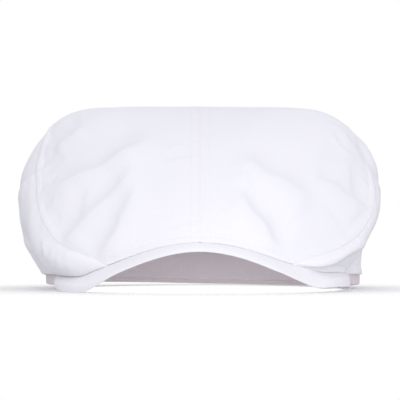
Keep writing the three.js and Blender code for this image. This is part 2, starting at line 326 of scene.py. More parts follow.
# %% Turning grids into a closed mesh
def wall_object(name, outer, inner, uv, wear_and_shade, ring=False, flip=1):
    """A closed cloth wall. Its grids share their border points, or a ring's share the first row."""
    numbers = np.arange(2 * outer[..., 0].size).reshape(2, *outer.shape[:2])
    outside, inside = numbers
    inside[:, 0], inside[:, -1] = outside[:, 0], outside[:, -1]
    if ring:
        numbers[:, -1] = numbers[:, 0]
    else:
        inside[0], inside[-1] = outside[0], outside[-1]
    used, renamed = np.unique(numbers, return_inverse=True)
    points = np.stack([outer, inner]).reshape(-1, 3)[used] * MM

    def both(front, back):
        """The corners of the faces of both grids, wound so that each face looks out of the cloth."""
        grids = [np.stack([g[:-1, :-1], g[1:, :-1], g[1:, 1:], g[:-1, 1:]], 2) for g in (front, back)]
        turned = 1 if flip > 0 else 0
        grids[turned] = grids[turned][:, :, ::-1]
        return np.concatenate([g.reshape(-1, *g.shape[2:]) for g in grids])

    faces = both(*renamed.reshape(numbers.shape))
    mesh = bpy.data.meshes.new(name)
    mesh.from_pydata(points.tolist(), [], faces.tolist())
    layer = mesh.uv_layers.new(name="cloth")
    layer.uv.foreach_set("vector", both(uv * MM, uv * MM).astype(np.float32).ravel())
    wear_and_shade_layer = mesh.attributes.new("wear_and_shade", "FLOAT", "POINT")
    wear_and_shade_layer.data.foreach_set("value", np.stack([wear_and_shade, wear_and_shade]).ravel()[used].astype(np.float32))
    print(f"{name}: {2 * len(faces)} triangles")
    return shown(name, mesh)


def shown(name, mesh):
    """Links a mesh to the scene as a smooth shaded object."""
    mesh.polygons.foreach_set("use_smooth", np.ones(len(mesh.polygons), bool))
    mesh.validate()
    return added(name, mesh)


SEAM_LIP = 0.2  # how far the cloth dips at a seam, where the next panel holds it
CENTRE_LIP = 0.03  # and at the centre seam, which is pressed open and flat


def quarter(way, reach):
    """1 at an edge and 0 from reach inwards, along a quarter circle."""
    part = 1 - np.clip(way / reach, 0, 1)
    return 1 - np.sqrt(np.maximum(0, 1 - part**2))


# %% [markdown]
# ## Soft hills
# Cloth is never quite flat. A lattice of seeded random numbers, joined by smooth steps, gives hills of
# any size. Blender's own noise texture could displace the mesh instead, but here the hills are needed
# as numbers, to be mixed and to fade at the seams.

# %% Random hills
def ripples(x, y, seed):
    """Smooth random hills from -1 to 1, one for each unit step of x and y."""
    size = 64
    lattice = np.random.default_rng(seed).uniform(-1, 1, (size, size))
    i, j = np.floor(x).astype(int), np.floor(y).astype(int)
    u, v = smooth(x - i, 0, 1), smooth(y - j, 0, 1)
    pick = lambda a, b: lattice[(i + a) % size, (j + b) % size]
    near = pick(0, 0) * (1 - u) + pick(1, 0) * u
    return near * (1 - v) + (pick(0, 1) * (1 - u) + pick(1, 1) * u) * v


# %% [markdown]
# ## The peak
# A stiff board covered smoothly with the same twill. It could be modelled by hand, but one formula
# gives it: a gentle rise towards the head, an arch across, and corners that curl up a little.

# %% Peak
PEAK_THICK = 3.2
PEAK_REACH = 135  # from the middle of the cap to the front edge
PEAK_HALF_WIDTH = 86.5
PEAK_SHIFT = 1.2
PEAK_WIDEST_Y = -45
PEAK_SQUARE = 2.3  # 2 is an ellipse in plan, and more is squarer
PEAK_FRONT_Z = 26.2
PEAK_SLOPE = 0.27
PEAK_LEVEL = 20  # how far it rises towards the head before it levels out
PEAK_ARCH = 63
PEAK_FLARE = (64, 86, 6.3)  # from where to where out it curls up, and how far
PEAK_TIP_ANGLE = 58
PEAK_ROUND = 11  # how far in from its front edge the cover starts to curve down
PEAK_ROUND_TIP = 2.5  # and from the edges at its tips
PEAK_ROUND_UNDER = 1.2  # how far in the underside curves up
CORNER_ROUND_UNDER = 4  # and how much further at the corners
PEAK_LIP_SHARE = 0.82  # share of the thickness that the curve of the top takes
CORNER_LIP_LESS = 0.42  # and how much less at the corners
CORNER_RISE = {"left": 1.4, "right": 4.2}
CORNER_LIFT = {"left": 4.2, "right": 5.2}  # how far the underside curves up at each outer corner
CORNER_REACH = 8
CORNER_HOLLOW = 1.6  # how much thinner the board is under the right corner
CORNER_SAG = 2.6  # how much lower the cover hangs under the left corner
BAND_HALF = np.array([95.0, 101.0])


def band_point(degrees, grown):
    """A point of the sweatband in plan, so many degrees round from the front."""
    angle = np.radians(degrees)
    x = HEAD[0] + (BAND_HALF[0] + grown) * np.sin(angle)
    return x, HEAD[1] - (BAND_HALF[1] + grown) * np.cos(angle)


def peak_level(x, y):
    """How high the top of the peak lies over a point of the floor."""
    rise = PEAK_LEVEL * np.tanh(PEAK_SLOPE * (y + PEAK_REACH) / PEAK_LEVEL)
    start, stop, curl = PEAK_FLARE
    arch = np.hypot(PEAK_ARCH, x) - PEAK_ARCH
    return PEAK_FRONT_Z + rise - arch + curl * smooth(np.abs(x), start, stop)


def corner_rise(x, y):
    """How far the cover swells up at the corners, where the side panels press on it."""
    swell = np.where(x > 0, CORNER_RISE["right"], CORNER_RISE["left"])
    return swell * smooth(np.abs(x), 30, 64) * smooth(y, -118, -94)


def peak_point(turn, out):
    """A point on top of the peak, turn -1 to 1 from tip to tip and out 0 to 1 from the band."""
    root_x, root_y = band_point(turn * PEAK_TIP_ANGLE, 0.3)
    angle = turn * math.pi / 2
    power = 2 / PEAK_SQUARE
    tip_x = PEAK_SHIFT + np.sign(turn) * PEAK_HALF_WIDTH * np.abs(np.sin(angle)) ** power
    tip_y = PEAK_WIDEST_Y - (PEAK_REACH + PEAK_WIDEST_Y) * np.maximum(0, np.cos(angle)) ** power
    x = root_x + (tip_x - root_x) * out
    y = root_y + (tip_y - root_y) * out
    return np.stack([x, y, peak_level(x, y)], -1)


peak_grid = lay_out(lambda row, out: peak_point(row - 1, out), 2, 170, 34, 0.9, 1)
peak_grid["normals"] = np.broadcast_to(UP, peak_grid["points"].shape)
front = peak_grid["last"]
peak_height = 0.12 * ripples(peak_grid["start"] / 22, front / 22, 50) - 0.1 * bell(front - 0.5, 0.25)
peak_height += 0.04 * ripples(peak_grid["start"] / 5, front / 9, 51)
edge = near_edge(peak_grid, "last", "start", "end")
peak_x, peak_y = peak_grid["points"][..., 0], peak_grid["points"][..., 1]
at_corner = smooth(np.abs(peak_x - PEAK_SHIFT), 52, 72)
peak_lip = PEAK_THICK * (PEAK_LIP_SHARE - CORNER_LIP_LESS * at_corner)
under_round = PEAK_ROUND_UNDER + CORNER_ROUND_UNDER * at_corner
tips = near_edge(peak_grid, "start", "end")
dip = np.maximum(quarter(front, PEAK_ROUND), quarter(tips, PEAK_ROUND_TIP))
peak_height += corner_rise(peak_x, peak_y) * (1 - quarter(edge, PEAK_ROUND_TIP)) - peak_lip * dip
corner = quarter(PEAK_HALF_WIDTH - np.abs(peak_x - PEAK_SHIFT), CORNER_REACH)
corner = corner * np.where(peak_x > 0, CORNER_LIFT["right"], CORNER_LIFT["left"])
corner += CORNER_HOLLOW * smooth(peak_x, 38, 64) - CORNER_SAG * smooth(-peak_x, 46, 66)
lift = (PEAK_THICK - peak_lip) * quarter(edge, under_round) + corner
lift = np.minimum(lift, PEAK_THICK + peak_height - 0.3)
peak_top = peak_grid["points"] + UP * peak_height[..., None]
peak_under = peak_grid["points"] + UP * (lift - PEAK_THICK)[..., None]
peak_uv = np.stack([front, peak_grid["start"]], -1)
peak_wear_and_shade = np.maximum(np.exp(-edge / 2), at_corner)  # the edge is darkened by handling, the corners as painted shade
peak = wall_object("peak_cover", peak_top, peak_under, peak_uv, peak_wear_and_shade, flip=-1)

# %% [markdown]
# ## Folds, puckers and soft unevenness
# Cotton that has been worn keeps a few broad folds, and many small ones where a seam was pulled tight.
# Each is a soft step along a drawn path, from a hollow on its left up to a crest on its right. A cloth
# simulation would wrinkle the cap too, but not where this one is wrinkled, so the folds are placed one
# by one, and only the smallest are seeded random ripples.

# %% Drawn folds
# For each view, rows of how steep the step is, half its width, and the path: x,z pairs from the
# front or back, y,z pairs from a side and x,y pairs from the top, all in millimetres.
FOLDS = {"front": [
    # long ones that fan out from the left seam
    (0.27, 4.6, "-99,57.6 -93.4,60.2 -87.5,62.7 -81.4,65.2 -70.5,69.3 -58.7,74.5 -47.1,82.8 "
     "-37.1,87 -26.6,91.9"),
    (0.26, 4.2, "-84.6,22.6 -82.4,25.5 -77,31.2 -73,35.8 -69,41 -64.4,46.8 -59.3,52.5 "
     "-53.6,57.7 -47.3,63.5 -41.7,70 -37.2,75.9"),
    (0.22, 4.6, "-60.8,16.6 -57.2,24 -53.3,30.8 -49.4,38.1 -46.1,44.4 -42.8,50.7 -39.5,57 "
     "-36.2,63.4"),
    (0.1, 1.2, "-54.9,25.1 -50.9,29.7 -46.4,35.9 -43.1,41.6"),
    (0.12, 2.2, "-71.4,42.2 -69.2,47.9 -67,54.9 -65.5,61.9"),
    (0.24, 3.0, "-91.1,82.7 -86.9,86.4 -82.1,90 -76.1,94.9 -68.9,99.1"),
    # short ones drawn in by the left seam
    (0.16, 1.3, "-92,70 -88.1,73 -83.3,77 -79.8,80.4"),
    (0.14, 1.0, "-90.2,79.6 -86.5,82 -84.1,83.8"),
    (0.14, 1.2, "-87.5,62.3 -85.8,66.5 -84.1,70.7"),
    (0.2, 0.9, "-93.9,49.3 -94,54 -93.4,58.2 -91.1,61.2"),
    (0.12, 0.9, "-92.3,45.1 -88.7,48.6 -85.2,52.7 -82.9,54.5"),
    (0.07, 1.2, "-84.9,35.8 -82.2,41.6 -81.3,48"),
    # faint ones in the middle of the front
    (0.12, 0.9, "-18.7,84.3 -14,85.5 -8.8,86.1"),
    (0.12, 0.9, "-23.2,75.8 -16.2,75.8 -10.4,76.9 -4.1,77.5"),
    (0.1, 0.9, "-19.6,34.8 -13.4,36.5 -6.7,38.2 0,40 5,40.4"),
    (0.06, 0.9, "5,40.4 9.5,38.7 14,36.5 18.5,35.4"),
    # long ones that fan out from the right seam
    (0.26, 4.2, "18.8,59.8 23.9,54.7 29.5,47.8 35.1,41.5 39.5,34.8 44.6,29.1 49.7,24"),
    (0.1, 1.5, "23,68.6 27,65.1 30.3,59.9"),
    (0.17, 6.5, "20.4,81.8 29,75.8 37.7,71.7 46.3,67.1 54.9,61.8 63.7,56.7 70.5,50.8"),
    (0.19, 4.2, "64.4,71.5 73.2,66.2 80.9,60.4 86.9,56.3 92.4,53.4 97.2,49.9 100.7,45.8"),
    (0.12, 0.9, "89.3,54.6 95.4,51.1 100.2,47"),
    (0.08, 1.6, "68.1,50.8 73.9,45.6 78.5,39.9 82.6,34.1 85.3,29.5"),
    # a dent beside the right seam
    (0.14, 2.2, "89,78.1 90.4,72 90.6,65.9 90.8,58.7 92.4,54"),
    (0.16, 0.8, "92.8,69 96.5,67.3 100.2,64.4 101.7,58.9"),
    # puckers at the top of the right seam
    (0.2, 0.9, "81,96.3 82.8,89 87.6,83 94.8,78.9"),
    (0.2, 0.9, "87,95 91.2,89 96,83 99.6,77 100.8,73.5"),
    (0.18, 0.9, "78,100.5 84,98.5 89,94.5 92,91"),
    # the left side panel: a raised lip high up, slanting creases, gathers at the peak's corner
    (0.25, 1.0, "-91,93.7 -95.4,89.4 -100.4,84.6 -103.4,80.3"),
    (0.2, 0.9, "-103.5,60.8 -101.4,64 -99.6,66.8"),
    (0.12, 0.9, "-104.9,54.8 -101.2,58.9 -97.5,61.3"),
    (0.1, 0.8, "-102.9,72.6 -99.3,76.8 -96.8,79.2"),
    (0.4, 0.8, "-91.6,15.7 -90.7,20.8 -91.6,26 -92,30.6"),
    (0.16, 1.4, "-87.2,11 -87,17 -86.2,22 -84.5,27"),
    (0.16, 1.3, "-80,9.5 -81.9,15.8 -82,20.4 -80.5,26"),
    (0.12, 1.3, "-74,9.5 -76.5,15 -77.2,19.4 -76.5,24"),
    # the roll of the right side panel, and the recess under it
    (0.68, 1.8, "101,28 96,24.8 89.7,22.6 82,18.3 75.5,15.4 66,12.6 56,11"),
    (0.3, 0.8, "93.5,8.9 93.1,16.2 91.2,23.1"),
], "left": [  # the photograph shows none of the folds from here on
    (0.16, 3.0, "-8,76 6,66 24,52"),
    (0.14, 2.5, "-46,18 -15,27 20,30"),
], "right": [
    (0.1, 2.5, "-30,26 0,33 30,34"),
    (0.14, 3.5, "10,66 38,56 60,50"),
], "top": [
    (0.025, 5.0, "-70,20 -50,46 -20,66"),
    (0.025, 5.0, "24,30 52,36 74,52"),
], "back": [
    (0.16, 3.5, "-60,60 -35,40 -14,30"),
    (0.16, 3.5, "22,34 50,44 70,66"),
]}
VIEWS = {  # which coordinates are across and up, and which way faces the eye
    "front": (0, 2, (0, -1, 0)),
    "back": (0, 2, (0, 1, 0)),
    "left": (1, 2, (-1, 0, 0)),
    "right": (1, 2, (1, 0, 0)),
    "top": (0, 1, (0, 0, 1)),
}
FOLD_DEPTH = 2.0
CREST_AT, CREST_INNER = 0.7, 0.9  # in half widths: where the crest lies, how wide its inner slope is
VALLEY_AT, VALLEY_INNER = -1.7, 1.8
OUTER_WIDTH = 2.4  # and how wide both outer slopes are
print(sum(map(len, FOLDS.values())), "drawn folds")


# %% Heights of folds and ripples
def smooth_line(path, steps=6):
    """A smooth line through the points of a drawn path."""
    points = [[float(value) for value in pair.split(",")] for pair in path.split()]
    rows = table("across up", *points)
    place = np.linspace(0, len(points) - 1, (len(points) - 1) * steps + 1)
    return np.stack([between(rows, name, place) for name in ("across", "up")], -1)


def off_line(flat, line):
    """How far each flat point lies to the right of a line, and how far along it, 0 to 1."""
    run = np.diff(line, axis=0)
    length = np.linalg.norm(run, axis=1)
    relative = flat[:, None] - line[None, :-1]
    part = np.clip((relative * run).sum(-1) / length**2, 0, 1)
    gap = np.linalg.norm(relative - part[..., None] * run, axis=-1)
    nearest = gap.argmin(1)
    pick = np.arange(len(flat)), nearest
    turn = run[nearest, 1] * relative[pick][:, 0] - run[nearest, 0] * relative[pick][:, 1]
    along = (np.cumsum(length) - length)[nearest] + part[pick] * length[nearest]
    return np.sign(turn) * gap[pick], along / length.sum()


def fold_height(points, normals):
    """How far the cloth stands out or in from all the drawn folds."""
    height = np.zeros(points.shape[:-1])
    drawn = [(view, *fold) for view, folds in FOLDS.items() for fold in folds]
    for number, (view, steep, wide, path) in enumerate(drawn):
        across, up, towards = VIEWS[view]
        line = smooth_line(path)
        flat = points[..., [across, up]]
        facing = smooth(normals @ np.array(towards), 0.02, 0.3)
        margin = 3 * OUTER_WIDTH * wide
        within = (flat > line.min(0) - margin).all(-1) & (flat < line.max(0) + margin).all(-1)
        within &= facing > 0
        off, along = off_line(flat[within], line)
        off = off + 0.25 * wide * ripples(5 * along + number, 0 * along, 5)
        fade = smooth(along, 0, 0.25) * smooth(1 - along, 0, 0.25)
        crest, valley = off - CREST_AT * wide, VALLEY_AT * wide - off
        crest = bell(crest, wide * np.where(crest > 0, OUTER_WIDTH, CREST_INNER))
        valley = bell(valley, wide * np.where(valley > 0, OUTER_WIDTH, VALLEY_INNER))
        height[within] += facing[within] * fade * FOLD_DEPTH * steep * wide * (crest - valley)
    return height


def unevenness(panel, seed, strength=1.0):
    """Soft hills of three sizes, calm at the edges of the panel."""
    x, y = panel["start"], panel["first"]
    hills = 0.35 * ripples(x / 34, y / 34, seed) + 0.07 * ripples(x / 13, y / 13, seed + 1)
    hills += 0.02 * ripples(x / 4.5, y / 4.5, seed + 2)
    return strength * hills * smooth(near_edge(panel), 0, 7)


def puckers(along, away, seed, high=0.3, long=4.2, reach=5.0):
    """Ripples across a tight seam, which die out away from it."""
    drawn = ripples(along / long, away / (3 * long), seed) * smooth(away, 0, 1.2)
    return high * drawn * np.exp(-away / reach)


# %% [markdown]
# ## Seams
# At a seam the cloth turns under and lies doubled, so the strip up to the stitch row stands proud, and
# the row itself is pulled down. A bump map would do from afar, but height also shows in the outline.

# %% Seam heights
FELL = 2.2  # from the side seam to its row of topstitching
CENTRE_FELL = 5.4  # from the centre seam to each of its rows
HEM_FELL = 4.2  # from the front hem to its row
RIM_FELL = 2.4  # from the lower edge of the side panels to their row


def sewn(away, row, thick=0.3, dent=0.16, groove=0.12, soft=1.0):
    """Height of the doubled strip along a seam, with its stitch row and the seam's own groove."""
    strip = thick * (1 - smooth(away, row + 0.1 - 0.4 * (soft - 1), row + 0.1 + soft))
    return strip - dent * bell(away - row, 0.45) - groove * bell(away, 0.7)


def rest_on_peak(panel, drop):
    """Lowers a panel's points by drop millimetres, after which they lie on the peak's cover."""
    panel["points"] = panel["points"] - UP * drop[..., None]


def cloth_wall(name, panel, height, seams, side, allowance=0, thickness=CLOTH):
    """Raises a panel by height and gives it its thickness. Its hems round off, its seams less so."""
    deep, under = np.zeros(height.shape), np.full(height.shape, thickness)
    for edge in EDGES:
        lip = seams.get(edge, thickness / 2)
        deep = np.maximum(deep, lip * quarter(panel[edge], np.maximum(lip, 0.02)))
        under = np.minimum(under, thickness - (thickness - lip) * quarter(panel[edge], thickness / 2))
    outer = panel["points"] + panel["normals"] * (height - deep)[..., None]
    inner = panel["points"] + panel["normals"] * (height - under - allowance)[..., None]
    panel["outer"] = outer
    panel["face"] = unit(np.cross(np.gradient(outer, axis=0), np.gradient(outer, axis=1))) * -side
    uv = np.stack([panel["first"], panel["start"]], -1)
    # Darker near the hems and seams: partly from handling, partly painted shade along the seams.
    wear_and_shade = np.exp(-near_edge(panel) / 1.6)
    return wall_object(name, outer, inner, uv, wear_and_shade, flip=-side)


# %% [markdown]
# ## The two halves of the top
# They meet in the middle, where both edges are pressed open and stitched down. One half and its mirror
# image would be quicker, but the real cap has slumped to the right, so each has its own columns.

# %% Top panels
HEM_CLEAR = 0.7  # from the peak's cover up to the middle of the top's hem
CORNER_SINK = 0.75  # how far the side panels sink into the cover over the peak's corners
HEM_SETTLE = 12  # how far up from the hem the cloth is drawn down with it


def above_peak(points):
    """How far the edge points stand too high above the peak's cover."""
    x, y, z = (points[..., k] for k in range(3))
    return z - peak_level(x, y) - corner_rise(x, y) - HEM_CLEAR


def up_the_seam(panel):
    """0 to 1 where the side seam leaves the corner, and where it starts to stand up as a welt."""
    return smooth(panel["start"], 4, 40), smooth(panel["start"], 45, 95)


def side_seam_lip(along_seam, welted):
    return SEAM_LIP * (0.25 + 0.25 * along_seam + 0.5 * welted)


def turned_in(away):
    """1 where the cloth's turned edge lies doubled inside, next to a seam."""
    return smooth(away, 0.6, 1.6) * (1 - smooth(away, 5.5, 6.5))


def top_panel(side):
    point_at = lambda rib, out: top_point(side, rib, out)
    panel = lay_out(point_at, LAST_RIB, 190, 100, 0.35, -side)
    start, end, first, last = (panel[edge] for edge in EDGES)
    normals = lean(panel["normals"], seam_normal(side, panel["row"]), last, 1.6)
    back_seam = seam_normal(side, LAST_RIB + (1 - panel["column"]) * BACK_SECTIONS)
    normals = lean(normals, back_seam, end, 1.6)
    panel["normals"] = lean(normals, unit(normals * [0, 1, 1]), first, 1.5)
    calm = smooth(start, 0, 12) * smooth(last, 0, 5) * smooth(end, 0, 9)
    seed = 10 if side < 0 else 20
    height = fold_height(panel["points"], panel["normals"]) * calm + unevenness(panel, seed)
    along_seam, welted = up_the_seam(panel)
    welt = 0.2 + (0.55 if side < 0 else 0.15) * welted
    dent, groove = 0.1 + 0.15 * welted, 0.04 + 0.08 * welted
    welt = sewn(last, FELL, welt, dent, groove, soft=1.6) * along_seam
    height += np.maximum(welt, sewn(end, FELL))
    height += sewn(first, CENTRE_FELL, thick=0.15, dent=0.2, groove=0)
    height -= 0.25 * bell(start - HEM_FELL, 0.5)
    high = 0.3 if side < 0 else 0.15 + 0.75 * smooth(start, 115, 145)
    height += puckers(start, last, seed + 3, high, reach=4.0)
    height += puckers(first, end, seed + 4)
    height += puckers(start, first, seed + 5, high=0.08, long=5)
    height += puckers(first, start, seed + 6, high=0.15, long=5.5, reach=8)
    hem = above_peak(panel["points"][:1])
    rest_on_peak(panel, hem * (1 - smooth(start, 0, HEM_SETTLE)))
    allowance = 0.5 * turned_in(near_edge(panel, "first", "last", "end"))
    seams = {"first": CENTRE_LIP, "last": side_seam_lip(along_seam, welted), "end": SEAM_LIP}
    return cloth_wall("top_" + side_word(side), panel, height, seams, side, allowance), panel


top_left, top_left_grid = top_panel(-1)
top_right, top_right_grid = top_panel(1)

# %% [markdown]
# ## The side panels
# Each starts as a point at the front corner, widens over the temple and ends at the back seam. The
# left one bulges over the peak's corner. The right one rolls under and leaves a recess above the band.

# %% Side panels
def side_panel(side):
    point_at = lambda section, down: side_point(side, section, down)
    panel = lay_out(point_at, LAST_SECTION, 245, 56, 0.5, -side)
    start, end, first, last = (panel[edge] for edge in EDGES)
    section, down = panel["row"], panel["column"]
    normals = lean(panel["normals"], seam_normal(side, section), first, 1.6)
    panel["normals"] = lean(normals, unit(normals * [0, 1, 1]), end, 1.5)
    calm = smooth(first, 0, 4) * smooth(last, 0, 4) * smooth(end, 0, 8)
    seed = 30 if side < 0 else 40
    height = fold_height(panel["points"], panel["normals"]) * calm + unevenness(panel, seed, 1.2)
    tip = smooth(start, 0, 12)
    height += tip * puckers(start, first, seed + 3, high=0.35)
    height += tip * puckers(start, last, seed + 4, high=0.25, long=5)
    along_seam, welted = up_the_seam(panel)
    height -= 0.12 * bell(first, 0.8) * welted
    past_temple = smooth(section, TEMPLE - 0.3, TEMPLE + 0.3)
    height += sewn(last, RIM_FELL, thick=0.35, groove=0) * past_temple
    height += sewn(end, FELL, thick=0.25)
    at_corner = above_peak(top_point(side, 0, 1))
    seam_drop = at_corner * (1 - smooth(start, 0, HEM_SETTLE))
    edge_drop = np.clip(above_peak(panel["points"][:, -1:]) + CORNER_SINK, -4, 5) * (1 - past_temple)
    share = 1 - smooth(last, 0, HEM_SETTLE)
    share = np.where(start < HEM_SETTLE, np.maximum(share, down), share)
    rest_on_peak(panel, seam_drop * (1 - down) + edge_drop * share * down)
    allowance = 0.4 * turned_in(first) * tip
    seams = {"first": side_seam_lip(along_seam, welted), "start": SEAM_LIP, "end": CENTRE_LIP}
    return cloth_wall("side_" + side_word(side), panel, height, seams, side, allowance), panel


side_left, side_left_grid = side_panel(-1)
side_right, side_right_grid = side_panel(1)

# %% [markdown]
# ## The sweatband
# A taupe cotton band, joined into a ring at the back, with a row of stitches that holds its turned
# lower edge. A plain tube would do from afar, but the edge rises over the brow.

# %% Sweatband
BAND_THICK = 1.4
BAND_HEIGHT = 28
BAND_FELL = 2.8
BAND_EDGE_DEGREES = 30
BAND_EDGE = table(  # height of the lower edge, for every 30 degrees from the front to the back
    "left right", [35.2, 35.2], [24, 24], [4.6, 4.6], [2.6, 2.0], [2.4, 0], [1.8, 0], [0.6, 0.6]
)
BAND_RIDGE = 7.6  # where the turned cloth ends on the inside


def ring_point(degrees, up):
    degrees, up = np.broadcast_arrays(degrees, up)
    turned = (degrees + 180) % 360  # the ring starts and ends at the back
    on_left = turned > 180
    step = np.where(on_left, 360 - turned, turned) / BAND_EDGE_DEGREES
    edges = [between(BAND_EDGE, word, step) for word in ("left", "right")]
    low = np.maximum(0, np.where(on_left, edges[0], edges[1]))
    x, y = band_point(turned, 0)
    return np.stack([x, y, low + up * BAND_HEIGHT], -1)


band_rows = np.linspace(0, 360, 421)
band_columns = spaced(ring_point, band_rows, 10)
band_points = ring_point(band_rows[:, None], band_columns)
band_low = ways_along(band_points, 1)
band_way = ways_along(band_points, 0)
plan = (band_points[..., :2] - HEAD) / BAND_HALF**2
inwards = -unit(np.concatenate([plan, 0 * plan[..., :1]], -1))
band_edge = np.minimum(band_low, band_low[:, -1:] - band_low)
band_round = BAND_THICK / 2 * quarter(band_edge, BAND_THICK / 2)[..., None]
band_wave = 0.25 * ripples(band_way / 15.2, band_low / 20, 60) * smooth(band_edge, 0, 6)
band_wave += 0.12 * ripples(band_way / 3.1, band_low / 9, 61) * bell(band_low - BAND_FELL, 2.5)
band_dent = 0.22 * bell(band_low - BAND_FELL, 0.45) + 0.2 * bell(band_low - BAND_RIDGE, 0.5)
seam_fade = smooth(np.minimum(band_way, band_way[-1:] - band_way), 0, 4)
band_face = (band_wave * seam_fade)[..., None]
band_outer = band_points + inwards * (band_face + band_round)
band_inner = band_points + inwards * (band_face + BAND_THICK - band_round - band_dent[..., None])
band_uv = np.stack([band_low, band_way], -1)
band_wear = np.exp(-band_edge / 1.5)
band = wall_object("sweatband_ring", band_outer, band_inner, band_uv, band_wear, ring=True, flip=-1)
print(f"the band is {band_way[-1, 0]:.0f} mm round")

# %% [markdown]
# ## Stitches
# Topstitching is a row of short threads that dive into the cloth at both ends, each like a grain of
# rice. They could be instanced on a curve, but one joined mesh is simpler to keep and to export.

# %% Stitch rows
def at_way(distance, ways, vectors):
    """The vectors of a line, read off at the given ways along it."""
    return np.stack([np.interp(distance, ways, vectors[:, k]) for k in range(3)], -1)


def row_line(grid, way, distance, low=0.0, high=1.0):
    """The line on a panel's outer face where the named way has one distance."""
    arrays = [grid[key] for key in (way, "outer", "face")]
    if way in ("start", "end"):
        arrays = [np.swapaxes(array, 0, 1) for array in arrays]
    if way in ("last", "end"):
        arrays = [array[:, ::-1] for array in arrays]
    first, last = (int(round(share * (len(arrays[0]) - 1))) for share in (low, high))
    lines = [[at_way(distance, *pair) for pair in zip(arrays[0], array)] for array in arrays[1:]]
    return [np.array(line)[first:last + 1] for line in lines]


STITCH_LONG, STITCH_PITCH, STITCH_THICK = 2.3, 2.9, 0.42


def stitches(name, lines, sink=0.1):
    """Many small threads along lines of points and normals, as one mesh."""
    long, pitch, thick = STITCH_LONG, STITCH_PITCH, STITCH_THICK
    rings = np.array([-0.92, -0.6, 0.0, 0.6, 0.92])
    girth = np.sqrt(1 - rings**4)
    turn = np.arange(6) * math.pi / 3
    shape = [
        [t * long / 2, g * thick / 2 * math.cos(a), g * thick / 2 * math.sin(a) - 0.3 * thick * t * t]
        for t, g in zip(rings, girth) for a in turn
    ]
    shape = np.array(shape + [[-long / 2, 0, -0.35 * thick], [long / 2, 0, -0.35 * thick]])
    faces = [
        [6 * r + k, 6 * (r + 1) + k, 6 * (r + 1) + (k + 1) % 6, 6 * r + (k + 1) % 6]
        for r in range(len(rings) - 1) for k in range(6)
    ]
    first_end, last_end, last_ring = len(shape) - 2, len(shape) - 1, 6 * (len(rings) - 1)
    caps = [[first_end, k, (k + 1) % 6] for k in range(6)]
    caps += [[last_end, last_ring + (k + 1) % 6, last_ring + k] for k in range(6)]
    placed = []
    for points, normals in lines:
        way = ways_along(points, 0)
        at = np.arange(pitch, way[-1] - pitch / 2, pitch)
        middle, up = at_way(at, way, points), unit(at_way(at, way, normals))
        along = unit(at_way(at + 0.5, way, points) - middle)
        up = unit(up - along * (up * along).sum(-1, keepdims=True))
        basis = np.stack([along, np.cross(up, along), up], 1)
        placed.append((middle - up * sink)[:, None, :] + np.einsum("vk,nkc->nvc", shape, basis))
    points = np.concatenate(placed)
    count = len(points)
    all_faces = [[len(shape) * n + v for v in face] for n in range(count) for face in faces + caps]
    mesh = bpy.data.meshes.new(name)
    mesh.from_pydata((points.reshape(-1, 3) * MM).tolist(), [], all_faces)
    print(f"{name}: {count} stitches")
    return shown(name, mesh)


tops = (top_left_grid, top_right_grid)
sides = (side_left_grid, side_right_grid)
centre_rows = stitches("centre_stitches", [row_line(g, "first", CENTRE_FELL, 0.04) for g in tops])
side_rows = stitches(
    "side_seam_stitches",
    [row_line(g, "last", FELL, 0.05, 0.93) for g in tops]
    + [row_line(g, "end", FELL, 0.02, 0.97) for g in tops],
)
hem_rows = stitches("hem_stitches", [row_line(g, "start", HEM_FELL, 0.0, 0.93) for g in tops])
rim_rows = stitches(
    "rim_stitches",
    [row_line(g, "last", RIM_FELL, 0.3, 0.99) for g in sides]
    + [row_line(g, "end", FELL, 0.03, 0.97) for g in sides],
)
band_inside = {"first": band_low, "outer": band_inner, "face": inwards}
band_row = stitches("band_stitches", [row_line(band_inside, "first", BAND_FELL)], sink=0.02)
